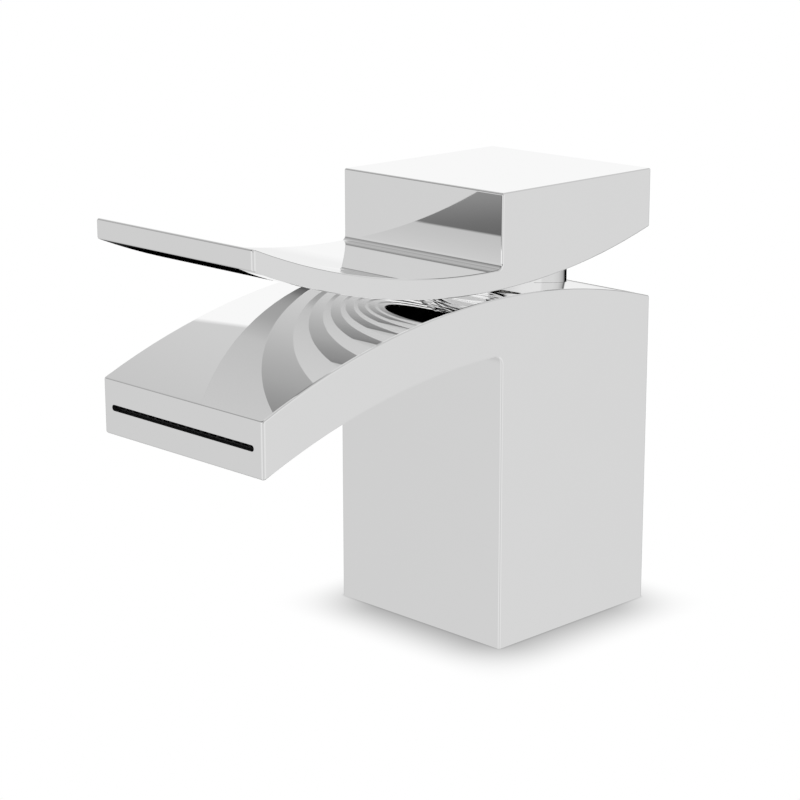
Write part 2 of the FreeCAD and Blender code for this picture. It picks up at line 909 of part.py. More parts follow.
# Rotor: flange and turret, guide legs, stop lug, stem slot and pin hole
def make_rotor():
    body = new_body("rotor")
    turn(
        body,
        "Revolution",
        "turret",
        [
            ("0", "rotor_bottom"),
            ("rotor_flange_radius", "rotor_bottom"),
            ("rotor_flange_radius", "rotor_flange_top"),
            ("rotor_radius", "rotor_flange_top"),
            ("rotor_radius", "rotor_top"),
            ("0", "rotor_top"),
        ],
    )
    for side in ("left", "right"):
        inner = "carrier_flat + slide_play"
        box(
            body,
            "Additive",
            f"leg_{side}",
            ("leg_width", "leg_length", "rotor_bottom - carrier_shelf - slide_play"),
            (
                inner if side == "right" else "-carrier_flat - slide_play - leg_width",
                "-leg_length / 2",
                "carrier_shelf + slide_play",
            ),
        )
    box(
        body,
        "Additive",
        "stop_lug",
        ("stop_width", "2 * stop_reach", "stop_height - slide_play"),
        ("-stop_width / 2", "rotor_radius - stop_reach", "neck_top + slide_play"),
    )
    swing = new_sketch(body, "swing_view", "YZ_Plane")
    outline(
        swing,
        [
            ("- slot_upright", "rotor_top"),
            ("- slot_waist", "pivot_height"),
            ("- slot_below", "rotor_bottom"),
            ("slot_upright", "rotor_bottom"),
            ("slot_waist", "pivot_height"),
            ("slot_above", "rotor_top"),
        ],
    )
    extrude(body, "Pocket", "stem_slot", swing, "stem_side + 2 * slot_side_play", symmetric=True)
    cylinder(
        body,
        "Subtractive",
        "pin_hole",
        "pin_radius + pin_press",
        "2 * rotor_radius",
        ("-rotor_radius", "0", "pivot_height"),
        "x",
    )
    return body


# Steel pin that the stem tilts on
def make_pivot_pin():
    body = new_body("pivot_pin")
    pin = cylinder(
        body,
        "Additive",
        "pin",
        "pin_radius",
        "2 * (rotor_radius - pin_inset)",
        ("-rotor_radius + pin_inset", "0", "pivot_height"),
        "x",
    )
    doc.recompute()
    bevel = body.newObject("PartDesign::Chamfer", "bevel")
    rims = [
        f"Edge{count}"
        for count, edge in enumerate(pin.Shape.Edges, start=1)
        if isinstance(edge.Curve, Part.Circle)
    ]
    bevel.Base = (pin, rims)
    bind(bevel, "Size", "pin_chamfer")
    return body


# Square stem with a thin arm and a ball below the pivot
def make_stem():
    body = new_body("stem")
    bar = box(
        body,
        "Additive",
        "bar",
        ("stem_side", "stem_side", "stem_top - pivot_height + stem_foot"),
        ("-stem_half", "-stem_half", "pivot_height - stem_foot"),
    )
    doc.recompute()
    top = [
        f"Edge{count}"
        for count, edge in enumerate(bar.Shape.Edges, start=1)
        if all(near(vertex.Z, "stem_top") for vertex in edge.Vertexes)
    ]
    bevel = body.newObject("PartDesign::Chamfer", "bevel")
    bevel.Base = (bar, top)
    bind(bevel, "Size", "stem_chamfer")
    cylinder(body, "Additive", "arm", "arm_radius", "ball_arm", ("0", "0", "ball_level"))
    ball = body.newObject("PartDesign::AdditiveSphere", "ball")
    bind(ball, "Radius", "ball_radius")
    place(ball, ("0", "0", "ball_level"))
    cylinder(
        body,
        "Subtractive",
        "pin_hole",
        "pin_radius + pin_play",
        "stem_side",
        ("-stem_half", "0", "pivot_height"),
        "x",
    )
    return body


# Open ring on the housing's neck: its two ends stop the rotor's lug
def make_hot_limit_ring():
    outer = doc.addObject("Part::Cylinder", "limit_ring_outside")
    bind(outer, "Radius", "neck_radius - limit_ring_inset")
    bind(outer, "Height", "stop_height")
    bind(outer, "Angle", "360 - 2 * limit_gap_half")
    outer.Placement = Placement(Vector(), Rotation(Vector(0, 0, 1), 90 + derived.limit_gap_half))
    inner = doc.addObject("Part::Cylinder", "limit_ring_inside")
    bind(inner, "Radius", "rotor_radius + limit_ring_play")
    bind(inner, "Height", "stop_height")
    for piece in (outer, inner):
        bind(piece, "Placement.Base.z", "neck_top")
    cut = doc.addObject("Part::Cut", "hot_limit_ring")
    cut.Base = outer
    cut.Tool = inner
    return cut


# Threaded ring that holds the cartridge down, with a notched neck
def make_retaining_nut():
    body = new_body("retaining_nut")
    turn(
        body,
        "Revolution",
        "nut",
        [
            ("nut_bore", "housing_shoulder"),
            ("nut_thread_radius", "housing_shoulder"),
            ("nut_thread_radius", "nut_shoulder"),
            ("nut_neck_radius", "nut_shoulder"),
            ("nut_neck_radius", "seal_groove_level - seal_groove_half"),
            ("seal_groove_radius", "seal_groove_level - seal_groove_half"),
            ("seal_groove_radius", "seal_groove_level + seal_groove_half"),
            ("nut_neck_radius", "seal_groove_level + seal_groove_half"),
            ("nut_neck_radius", "nut_top"),
            ("nut_bore", "nut_top"),
        ],
    )
    notch = box(
        body,
        "Subtractive",
        "notch",
        ("nut_neck_radius", "nut_notch_width", "nut_notch_depth"),
        ("0", "-nut_notch_width / 2", "nut_top - nut_notch_depth"),
    )
    notches = body.newObject("PartDesign::PolarPattern", "notches")
    notches.Originals = [notch]
    notches.Axis = (origin_feature(body, "Z_Axis"), [""])
    notches.Angle = 360
    bind(notches, "Occurrences", "nut_notches")
    body.Tip = notches
    return body


# Chrome collar with a rolled-in lip
def make_collar():
    body = new_body("collar")
    wall = turn(
        body,
        "Revolution",
        "wall",
        [
            ("collar_inner", "nut_shoulder"),
            ("collar_radius", "nut_shoulder"),
            ("collar_radius", "collar_top"),
            ("collar_mouth", "collar_top"),
            ("collar_mouth", "collar_lip_level"),
            ("collar_inner", "collar_lip_level"),
        ],
    )

    def at_top_rim(spot):
        return near(spot.z, "collar_top") and near(math.hypot(spot.x, spot.y), "collar_radius")

    rounded(body, "rim", wall, "collar_edge", at_top_rim)
    return body


# Handle: block and lever in one casting, hollowed over the collar
def make_handle():
    body = new_body("handle")
    side_view = new_sketch(body, "side_view", "YZ_Plane")
    outline(
        side_view,
        [
            ("handle_back", "back_low"),
            ("handle_back", "handle_top"),
            ("- block_front", "handle_top"),
            ("- block_front", "root_top"),
            ("- lever_reach", "tip_top"),
            ("- lever_reach", "tip_low"),
        ],
        {
            3: ("- lever_crest", "lever_centre", "y"),
            5: ("- lever_crest", "lever_centre", "y"),
        },
    )
    casting = extrude(body, "Pad", "casting", side_view, "handle_width", symmetric=True)

    def at_root(spot):
        return near(spot.x, "0") and near(spot.y, "- block_front") and near(spot.z, "root_top")

    def at_tip_corner(spot):
        return near(abs(spot.x), "handle_half") and near(spot.y, "- lever_reach")

    def outside(spot):
        on_side = near(abs(spot.x), "handle_half")
        beside_corner = near(spot.y, "corner_radius - lever_reach")
        at_end = near(spot.y, "handle_back") or near(spot.y, "- lever_reach")
        on_brow = near(spot.y, "- block_front") and near(spot.z, "handle_top")
        return (on_side and not beside_corner) or (near(spot.x, "0") and (at_end or on_brow))

    root = rounded(body, "root", casting, "root_radius", at_root)
    corners = rounded(body, "tip_corners", root, "corner_radius", at_tip_corner)
    rounded(body, "edges", corners, "edge_radius", outside)
    ceiling = new_sketch(body, "pocket_view", "XY_Plane", "pocket_ceiling")
    outline(
        ceiling,
        [
            ("- pocket_radius", "- pocket_front_centre"),
            ("pocket_radius", "- pocket_front_centre"),
            ("pocket_radius", "0"),
            ("- pocket_radius", "0"),
        ],
        {0: ("0", "- pocket_front_centre", "y"), 2: ("0", "0", "y")},
    )
    extrude(body, "Pocket", "pocket", ceiling, "pocket_ceiling - crest_height")
    add_stem_clamp(body)
    return body


def add_stem_clamp(body):
    """Square socket for the stem, screw hole and plug seat in the back."""
    box(
        body,
        "Subtractive",
        "stem_socket",
        ("socket_side", "socket_side", "socket_depth"),
        ("-socket_side / 2", "-socket_side / 2", "pocket_ceiling"),
    )
    cylinder(
        body,
        "Subtractive",
        "screw_hole",
        "screw_radius + screw_play",
        "handle_back",
        ("0", "0", "screw_level"),
        "y",
    )
    cylinder(
        body,
        "Subtractive",
        "plug_seat",
        "plug_radius + plug_play",
        "plug_head + plug_play",
        ("0", "handle_back - plug_head - plug_play", "screw_level"),
        "y",
    )


# Grub screw with a hexagon socket
def make_set_screw():
    shank = doc.addObject("Part::Cylinder", "screw_shank")
    bind(shank, "Radius", "screw_radius")
    bind(shank, "Height", "screw_length")
    place(shank, ("0", "stem_half + screw_play", "screw_level"), "y")
    socket = doc.addObject("Part::Prism", "screw_hexagon")
    socket.Polygon = 6
    bind(socket, "Circumradius", "screw_socket")
    bind(socket, "Height", "screw_socket_depth")
    start = "stem_half + screw_play + screw_length - screw_socket_depth"
    place(socket, ("0", start, "screw_level"), "y")
    cut = doc.addObject("Part::Cut", "set_screw")
    cut.Base = shank
    cut.Tool = socket
    return cut


# Plug over the screw's hole
def make_screw_plug():
    body = new_body("screw_plug")
    cylinder(
        body,
        "Additive",
        "head",
        "plug_radius",
        "plug_head",
        ("0", "handle_back - plug_head - plug_play", "screw_level"),
        "y",
    )
    cylinder(
        body,
        "Additive",
        "shank",
        "screw_radius - plug_play",
        "plug_shank",
        ("0", "handle_back - plug_head - plug_play - plug_shank", "screw_level"),
        "y",
    )
    return body


def make_collar_seal():
    """Ring in the groove of the nut's neck."""
    return ring("collar_seal", "seal_ring_radius", "collar_seal_section", ("0", "0", "seal_groove_level"))


def check_document():
    """Stop if anything in the document failed."""
    for item in doc.Objects:
        if "Invalid" in item.State or "Error" in item.State:
            raise RuntimeError(f"{item.Name} failed: {item.State}")


def write_parts(nodes):
    """Write each node's solids to a file named after its label."""
    os.makedirs("parts", exist_ok=True)
    for node in nodes:
        shape = node.Shape
        if shape.isNull() or not shape.isValid() or not shape.Solids:
            raise RuntimeError(f"{node.Label} has no valid solid")
        shape.exportStep(f"parts/{node.Label}.step")
        print(f"{node.Label}: {len(shape.Solids)} solid(s), {shape.Volume:.1f} mm3")


derived = write_sizes()
parts = [
    make_body(),
    make_outlet_strip(),
    make_base_seal(),
    make_cartridge_base(),
    *make_seals(),
    make_fixed_disc(),
    make_moving_disc(),
    make_disc_carrier(),
    make_cartridge_housing(),
    make_rotor(),
    make_pivot_pin(),
    make_stem(),
    make_hot_limit_ring(),
    make_retaining_nut(),
    make_collar_seal(),
    make_collar(),
    make_handle(),
    make_set_screw(),
    make_screw_plug(),
]
doc.recompute()
check_document()
write_parts(parts)
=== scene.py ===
"""Looks of a single-lever basin mixer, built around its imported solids."""

import logging
import math
from dataclasses import dataclass, field
from enum import Enum, IntEnum
from typing import Any, Iterable, Optional, Union

import bmesh
import bpy
import numpy as np
from mathutils import Matrix, Vector


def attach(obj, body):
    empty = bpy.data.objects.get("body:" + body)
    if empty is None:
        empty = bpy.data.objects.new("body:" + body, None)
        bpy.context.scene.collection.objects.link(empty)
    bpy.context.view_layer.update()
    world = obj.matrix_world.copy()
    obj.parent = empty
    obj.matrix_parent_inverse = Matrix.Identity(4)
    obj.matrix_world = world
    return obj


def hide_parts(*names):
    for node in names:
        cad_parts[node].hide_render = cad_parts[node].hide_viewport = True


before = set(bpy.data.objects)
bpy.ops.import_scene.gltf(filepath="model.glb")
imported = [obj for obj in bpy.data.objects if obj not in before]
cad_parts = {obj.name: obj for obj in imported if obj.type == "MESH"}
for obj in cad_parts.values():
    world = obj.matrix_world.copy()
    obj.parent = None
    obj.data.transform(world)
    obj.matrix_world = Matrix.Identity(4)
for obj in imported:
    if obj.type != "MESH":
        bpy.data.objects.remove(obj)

LOG = logging.getLogger("basin_mixer")
MM = 0.001
MERGE_DISTANCE = 0.0005 * MM
TINY = 1e-9
FULL_TURN = 360.0

# Most of a noise lies between these two levels.
NOISE_SPAN = (0.3, 0.7)

# A fade runs from one (from, to) pair to another.
# A reading holds the gaps and the outward directions of a form at a set of places.
Colour = tuple[float, float, float, float]
Fade = tuple[tuple[float, float], tuple[float, float]]
Operand = Union["Value", float]
Reading = tuple[np.ndarray, np.ndarray]


def grey(level: float) -> Colour:
    """Neutral colour of a level."""
    return (level, level, level, 1.0)


def tinted(colour: Colour, share: float) -> Colour:
    """Colour made darker or lighter by a share."""
    return (colour[0] * share, colour[1] * share, colour[2] * share, colour[3])


class Value:
    """One number of a node graph, which takes part in Python arithmetic."""

    def __init__(self, graph: "Graph", socket: bpy.types.NodeSocket) -> None:
        """Keep the socket and the graph it belongs to."""
        self.graph = graph
        self.socket = socket

    def _with(self, operation: str, *operands: Operand) -> "Value":
        """Add a Math node over these operands."""
        return self.graph.math(operation, *operands)

    def __add__(self, other: Operand) -> "Value":
        """Sum."""
        return self._with("ADD", self, other)

    __radd__ = __add__

    def __sub__(self, other: Operand) -> "Value":
        """Difference."""
        return self._with("SUBTRACT", self, other)

    def __rsub__(self, other: Operand) -> "Value":
        """Difference from a number on the left."""
        return self._with("SUBTRACT", other, self)

    def __mul__(self, other: Operand) -> "Value":
        """Product."""
        return self._with("MULTIPLY", self, other)

    __rmul__ = __mul__

    def __truediv__(self, other: Operand) -> "Value":
        """Quotient."""
        return self._with("DIVIDE", self, other)

    def __rtruediv__(self, other: Operand) -> "Value":
        """Quotient of a number on the left."""
        return self._with("DIVIDE", other, self)

    def __lt__(self, other: Operand) -> "Value":
        """1 where this is below the other, else 0."""
        return self._with("LESS_THAN", self, other)

    def __abs__(self) -> "Value":
        """Size without the sign."""
        return self._with("ABSOLUTE", self)

    def sine(self) -> "Value":
        """Sine of this angle."""
        return self._with("SINE", self)

    def root(self) -> "Value":
        """Square root."""
        return self._with("SQRT", self)


class Graph:
    """Builder of one node tree, for a material, the world or a Geometry Nodes group."""

    def __init__(self, tree: bpy.types.NodeTree) -> None:
        """Empty the tree."""
        self.tree = tree
        tree.nodes.clear()

    def node(
        self,
        kind: str,
        settings: Optional[dict[str, Any]] = None,
        inputs: Optional[dict[Union[str, int], Any]] = None,
    ) -> bpy.types.Node:
        """Add a node.

        Args:
            kind: Blender's type name of the node.
            settings: Properties to set first; "stops" holds a ramp's (place, colour) pairs.
            inputs: Values, or sockets to link, by the input's name or number.

        Returns:
            The node.
        """
        made = self.tree.nodes.new(kind)
        for name, value in (settings or {}).items():
            if name == "stops":
                self._set_stops(made, value)
            else:
                setattr(made, name, value)
        for key, value in (inputs or {}).items():
            socket = made.inputs[key]
            if isinstance(value, Value):
                value = value.socket
            if isinstance(value, bpy.types.NodeSocket):
                self.tree.links.new(value, socket)
            else:
                socket.default_value = value
        return made

    @staticmethod
    def _set_stops(ramp: bpy.types.Node, stops: Iterable[tuple[float, Any]]) -> None:
        """Replace the stops of a colour ramp.

        Args:
            ramp: The ramp's node.
            stops: Places with a colour, or with the level of a grey.
        """
        elements = ramp.color_ramp.elements
        stops = list(stops)
        while len(elements) < len(stops):
            elements.new(1.0)
        for element, (place, colour) in zip(elements, stops):
            element.position = place
            element.color = colour if isinstance(colour, tuple) else grey(colour)

    def math(self, operation: str, *operands: Operand) -> Value:
        """Add a Math node.

        Args:
            operation: Blender's name of the operation.
            operands: Values or numbers, in order.

        Returns:
            The result.
        """
        made = self.node("ShaderNodeMath", {"operation": operation}, dict(enumerate(operands)))
        return Value(self, made.outputs[0])

    def place(self) -> bpy.types.NodeSocket:
        """Object coordinates, in metres."""
        return self.node("ShaderNodeTexCoord").outputs["Object"]

    def split(self, vector: bpy.types.NodeSocket) -> tuple[Value, Value, Value]:
        """The three coordinates of a vector."""
        made = self.node("ShaderNodeSeparateXYZ", inputs={0: vector})
        return tuple(Value(self, socket) for socket in made.outputs)

    def noise(self, vector: bpy.types.NodeSocket, scale: float, detail: float = 2.0) -> Value:
        """Noise of a scale, in waves per metre."""
        made = self.node(
            "ShaderNodeTexNoise", inputs={"Vector": vector, "Scale": scale, "Detail": detail}
        )
        return Value(self, made.outputs[0])

    def ramp(self, value: Operand, stops: Iterable[tuple[float, Any]]) -> bpy.types.NodeSocket:
        """Colour of a ramp at a value."""
        made = self.node("ShaderNodeValToRGB", {"stops": stops}, {0: value})
        return made.outputs[0]

    def level(
        self,
        value: Operand,
        low: tuple[float, float],
        high: tuple[float, float],
        curve: str = "LINEAR",
    ) -> Value:
        """Value that runs from one (from, to) pair to another and stays between them."""
        made = self.node(
            "ShaderNodeMapRange",
            {"clamp": True, "interpolation_type": curve},
            {0: value, 1: low[0], 2: high[0], 3: low[1], 4: high[1]},
        )
        return Value(self, made.outputs[0])

    def mottled(
        self,
        noise: Value,
        colour: Colour,
        share: float,
        span: tuple[float, float] = NOISE_SPAN,
    ) -> bpy.types.NodeSocket:
        """Colour that a noise brings down to a share of itself."""
        return self.ramp(noise, [(span[0], tinted(colour, share)), (span[1], colour)])

    def spread(
        self,
        noise: Value,
        ends: tuple[float, float],
        span: tuple[float, float] = NOISE_SPAN,
    ) -> Value:
        """Value that a noise moves between two ends."""
        return self.level(noise, (span[0], ends[0]), (span[1], ends[1]))

    def blend(self, factor: Operand, first: Any, second: Any) -> bpy.types.NodeSocket:
        """Mix of two colours."""
        made = self.node(
            "ShaderNodeMix", {"data_type": "RGBA"}, {0: factor, 6: first, 7: second}
        )
        return made.outputs[2]

    def mix(self, factor: Any, first: bpy.types.Node, second: bpy.types.Node) -> bpy.types.Node:
        """Mix of two shaders."""
        inputs = {0: factor, 1: first.outputs[0], 2: second.outputs[0]}
        return self.node("ShaderNodeMixShader", inputs=inputs)

    def relief(self, height: Operand, strength: float, depth: float) -> bpy.types.NodeSocket:
        """Normal of a bump of a depth in metres."""
        made = self.node(
            "ShaderNodeBump", inputs={"Strength": strength, "Distance": depth, "Height": height}
        )
        return made.outputs[0]

    def surface(self, **sockets: Any) -> None:
        """Put a Principled shader on the material's output.

        Args:
            sockets: Values or links of its sockets, named in lower case.
        """
        names = {name.replace("_", " ").title(): value for name, value in sockets.items()}
        shader = self.node("ShaderNodeBsdfPrincipled", inputs=names)
        self.node("ShaderNodeOutputMaterial", inputs={"Surface": shader.outputs[0]})


@dataclass(frozen=True)
class Finish:
    """Surface of one kind of piece."""

    name: str

    def material(self) -> bpy.types.Material:
        """Make the material at its first use.

        Returns:
            The material, which every piece of this finish shares.
        """
        found = bpy.data.materials.get(self.name)
        if found is None:
            found = bpy.data.materials.new(self.name)
            found.use_nodes = True
            self.build(Graph(found.node_tree))
        return found

    def build(self, graph: Graph) -> None:
        """Fill the material's graph.

        Args:
            graph: The graph, which is empty.
        """
        raise NotImplementedError


@dataclass(frozen=True)
class Plating(Finish):
    """Bright chrome plate, with bare metal inside a radius about the column's axis."""

    chrome: Colour = (0.998, 0.998, 0.998, 1.0)
    haze_scale: float = 55.0
    haze_share: float = 0.995
    polish: tuple[float, float] = (0.012, 0.03)
    polish_span: tuple[float, float] = (0.35, 0.7)
    bare: Colour = (0.62, 0.47, 0.23, 1.0)
    bare_roughness: float = 0.35
    bare_radius: float = 0.0

    def build(self, graph: Graph) -> None:
        """Fill the material's graph.

        Args:
            graph: The graph, which is empty.
        """
        place = graph.place()
        haze = graph.noise(place, self.haze_scale)
        colour = graph.mottled(haze, self.chrome, self.haze_share)
        roughness = graph.spread(haze, self.polish, self.polish_span)
        if self.bare_radius:
            x, y, _ = graph.split(place)
            inside = (x * x + y * y).root() < self.bare_radius
            colour = graph.blend(inside, colour, self.bare)
            roughness = roughness + (self.bare_roughness - roughness) * inside
        graph.surface(base_color=colour, roughness=roughness, metallic=1.0)


@dataclass(frozen=True)
class CastMetal(Finish):
    """Bare cast metal, where the plating does not reach."""

    colour: Colour
    roughness: tuple[float, float] = (0.32, 0.52)
    grain_scale: float = 2600.0
    grain_strength: float = 0.35
    grain_depth: float = 0.05 * MM
    stain_scale: float = 90.0
    stain_share: float = 0.75

    def build(self, graph: Graph) -> None:
        """Fill the material's graph.

        Args:
            graph: The graph, which is empty.
        """
        place = graph.place()
        grain = graph.noise(place, self.grain_scale, detail=4.0)
        stain = graph.noise(place, self.stain_scale, detail=3.0)
        graph.surface(
            base_color=graph.mottled(stain, self.colour, self.stain_share),
            roughness=graph.spread(grain, self.roughness),
            metallic=1.0,
            normal=graph.relief(grain, self.grain_strength, self.grain_depth),
        )


@dataclass(frozen=True)
class TurnedMetal(Finish):
    """Metal with fine rings from the lathe about the column's axis."""

    colour: Colour
    pitch: float = 0.18 * MM
    roughness: tuple[float, float] = (0.22, 0.36)
    ring_strength: float = 0.25
    ring_depth: float = 0.01 * MM
    drift_scale: float = 400.0
    drift_angle: float = 3.0
    stain_scale: float = 120.0
    stain_share: float = 0.82
    stain_span: tuple[float, float] = (0.3, 0.65)

    def build(self, graph: Graph) -> None:
        """Fill the material's graph.

        Args:
            graph: The graph, which is empty.
        """
        place = graph.place()
        x, y, z = graph.split(place)
        drift = graph.noise(place, self.drift_scale)
        along = (x * x + y * y).root() + z
        rings = (along * (2 * math.pi / self.pitch) + drift * self.drift_angle).sine()
        stain = graph.noise(place, self.stain_scale, detail=3.0)
        graph.surface(
            base_color=graph.mottled(stain, self.colour, self.stain_share, self.stain_span),
            roughness=graph.spread(drift, self.roughness),
            metallic=1.0,
            normal=graph.relief(rings, self.ring_strength, self.ring_depth),
        )


@dataclass(frozen=True)
class Ceramic(Finish):
    """Lapped ceramic with a fine speckle."""

    colour: Colour = (0.87, 0.86, 0.82, 1.0)
    roughness: tuple[float, float] = (0.16, 0.24)
    cloud_scale: float = 160.0
    cloud_share: float = 0.94
    speck_scale: float = 3200.0
    speck_tone: float = 0.45
    speck_cover: tuple[float, float] = (0.0, 0.35)
    speck_span: tuple[float, float] = (0.68, 0.78)
    speck_strength: float = 0.08
    speck_depth: float = 0.01 * MM

    def build(self, graph: Graph) -> None:
        """Fill the material's graph.

        Args:
            graph: The graph, which is empty.
        """
        place = graph.place()
        cloud = graph.noise(place, self.cloud_scale, detail=3.0)
        speck = graph.noise(place, self.speck_scale, detail=1.0)
        body = graph.mottled(cloud, self.colour, self.cloud_share)
        cover = graph.spread(speck, self.speck_cover, self.speck_span)
        graph.surface(
            base_color=graph.blend(cover, body, grey(self.speck_tone)),
            roughness=graph.spread(cloud, self.roughness),
            normal=graph.relief(speck, self.speck_strength, self.speck_depth),
        )


@dataclass(frozen=True)
class Moulding(Finish):
    """Moulded plastic with a fine spark texture."""

    colour: Colour
    roughness: tuple[float, float] = (0.38, 0.52)
    flow_scale: float = 90.0
    flow_share: float = 0.9
    spark_scale: float = 1800.0
    spark_strength: float = 0.2
    spark_depth: float = 0.02 * MM

    def build(self, graph: Graph) -> None:
        """Fill the material's graph.

        Args:
            graph: The graph, which is empty.
        """
        place = graph.place()
        flow = graph.noise(place, self.flow_scale, detail=3.0)
        spark = graph.noise(place, self.spark_scale, detail=3.0)
        graph.surface(
            base_color=graph.mottled(flow, self.colour, self.flow_share),
            roughness=graph.spread(spark, self.roughness),
            normal=graph.relief(spark, self.spark_strength, self.spark_depth),
        )


@dataclass(frozen=True)
class Rubber(Finish):
    """Black seal rubber with a faint bloom."""

    colour: Colour = (0.03, 0.03, 0.031, 1.0)
    roughness: tuple[float, float] = (0.62, 0.8)
    bloom_scale: float = 260.0
    bloom_share: float = 1.8
    bloom_span: tuple[float, float] = (0.45, 0.8)
    grain_scale: float = 2400.0
    grain_strength: float = 0.15
    grain_depth: float = 0.02 * MM

    def build(self, graph: Graph) -> None:
        """Fill the material's graph.

        Args:
            graph: The graph, which is empty.
        """
        place = graph.place()
        bloom = graph.noise(place, self.bloom_scale, detail=4.0)
        grain = graph.noise(place, self.grain_scale)
        bloomed = tinted(self.colour, self.bloom_share)
        graph.surface(
            base_color=graph.ramp(bloom, zip(self.bloom_span, (self.colour, bloomed))),
            roughness=graph.spread(bloom, self.roughness),
            normal=graph.relief(grain, self.grain_strength, self.grain_depth),
        )


class Slot(Enum):
    """Names of two material slots, chrome and brass, which nothing in this script uses."""

    CHROME = "chrome"
    BRASS = "brass"


CHROME = Plating("chrome_plate")
CHROME_CAP = Plating("chrome_cap", bare_radius=15.1 * MM)
CAST_BRASS = CastMetal("cast_brass", (0.62, 0.47, 0.23, 1.0))
CAST_ZINC = CastMetal("cast_zinc", (0.4, 0.4, 0.41, 1.0))
BRASS = TurnedMetal("turned_brass", (0.72, 0.54, 0.25, 1.0))
NICKEL = TurnedMetal("nickel_plate", (0.62, 0.61, 0.59, 1.0), roughness=(0.16, 0.28))
STEEL = TurnedMetal("ground_steel", (0.56, 0.56, 0.57, 1.0), pitch=0.09 * MM, roughness=(0.18, 0.3))
ALUMINA = Ceramic("lapped_ceramic")
WHITE_PLASTIC = Moulding("white_moulding", (0.8, 0.8, 0.77, 1.0))
GREY_PLASTIC = Moulding("grey_moulding", (0.27, 0.28, 0.29, 1.0))
# Black moulding of the outlet strip, also used as painted shade on the cast walls of the slot in the
# spout's nose.
BLACK_MOULDING_AND_PAINTED_SHADE = Moulding("black_moulding_and_painted_shade", (0.012, 0.012, 0.013, 1.0), roughness=(0.55, 0.7))
RED_PLASTIC = Moulding("red_moulding", (0.55, 0.045, 0.035, 1.0))
SEAL_RUBBER = Rubber("seal_rubber")


def dress(node: str, finish: Finish) -> None:
    """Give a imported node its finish.

    Args:
        node: Name of the node.
        finish: Surface to put on it.
    """
    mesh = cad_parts[node].data
    mesh.materials.clear()
    mesh.materials.append(finish.material())
    LOG.info("%s: %s", node, finish.name)


@dataclass(frozen=True)
class Plane:
    """Flat face of a form in its side view, where a place is a (y, z) pair in millimetres."""

    out: tuple[float, float]
    reach: float

    def gap(self, side: np.ndarray) -> np.ndarray:
        """Distance of each place outside the face."""
        return side @ np.array(self.out) - self.reach

    def normal(self, side: np.ndarray) -> np.ndarray:
        """Outward direction at each place."""
        return np.broadcast_to(np.array(self.out), side.shape)


@dataclass(frozen=True)
class Arc:
    """Round face of a form in its side view; a hollow one bulges into the form."""

    centre: tuple[float, float]
    radius: float
    hollow: bool = False

    def gap(self, side: np.ndarray) -> np.ndarray:
        """Distance of each place outside the face."""
        beyond = np.linalg.norm(side - np.array(self.centre), axis=1) - self.radius
        return -beyond if self.hollow else beyond

    def normal(self, side: np.ndarray) -> np.ndarray:
        """Find the outward directions.

        Args:
            side: The places.

        Returns:
            Unit vectors in the side view, one at each place.
        """
        away = side - np.array(self.centre)
        away /= np.linalg.norm(away, axis=1)[:, None]
        return -away if self.hollow else away

    def level(self, across: np.ndarray) -> np.ndarray:
        """Height of the arc's upper half at each place along y."""
        return self.centre[1] + np.sqrt(self.radius ** 2 - (across - self.centre[0]) ** 2)


@dataclass(frozen=True)
class Cove:
    """Upright face and hollow arc that meet in a rounded inner corner."""

    wall: float
    sweep: Arc
    radius: float
    wall_is_below: bool

    def faces(self) -> tuple[Plane, Arc, Arc]:
        """Work out the fillet.

        Returns:
            The upright face, the arc and the fillet between them.
        """
        across = self.wall - self.radius
        centre_y, centre_z = self.sweep.centre
        rise = math.sqrt((self.sweep.radius - self.radius) ** 2 - (across - centre_y) ** 2)
        level = centre_z + rise if self.wall_is_below else centre_z - rise
        fillet = Arc((across, level), self.radius, hollow=True)
        return Plane((-1.0, 0.0), -self.wall), self.sweep, fillet

    def pick(self, side: np.ndarray) -> np.ndarray:
        """Find the face that each place belongs to.

        Args:
            side: The places.

        Returns:
            Numbers of the faces, in the order of faces().
        """
        *_, fillet = self.faces()
        across, level = fillet.centre
        beside = side[:, 1] < level if self.wall_is_below else side[:, 1] > level
        return np.where(side[:, 0] < across, 1, np.where(beside, 0, 2))

    def gap(self, side: np.ndarray) -> np.ndarray:
        """Distance of each place outside the face that it belongs to."""
        return np.choose(self.pick(side), [face.gap(side) for face in self.faces()])

    def normal(self, side: np.ndarray) -> np.ndarray:
        """Outward direction at each place."""
        return np.choose(self.pick(side)[:, None], [face.normal(side) for face in self.faces()])


@dataclass(frozen=True)
class Shift:
    """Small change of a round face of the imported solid, which takes its rounded edges along."""

    packed: Arc
    depth: float = field(default=0.9, kw_only=True)

    def rise(self, across: np.ndarray) -> np.ndarray:
        """How far the face rises at each place along y."""
        raise NotImplementedError

    def moved(self, points: np.ndarray) -> np.ndarray:
        """Make the change.

        Args:
            points: Places in millimetres.

        Returns:
            The places after the change.
        """
        near = np.abs(self.packed.gap(points[:, 1:])) < self.depth
        moved = points.copy()
        moved[:, 2] += np.where(near, self.rise(points[:, 1]), 0.0)
        return moved


@dataclass(frozen=True)
class Trim(Shift):
    """Change to the arc that the photograph shows."""

    seen: Arc

    def rise(self, across: np.ndarray) -> np.ndarray:
        """How far the face rises at each place along y."""
        return self.seen.level(across) - self.packed.level(across)


@dataclass(frozen=True)
class Taper(Shift):
    """Slight thinning of a lever toward its tip, from below."""

    start: float
    tip: float
    height: float

    def rise(self, across: np.ndarray) -> np.ndarray:
        """How far the face rises at each place along y."""
        return self.height * np.clip((across - self.start) / (self.tip - self.start), 0.0, 1.0)


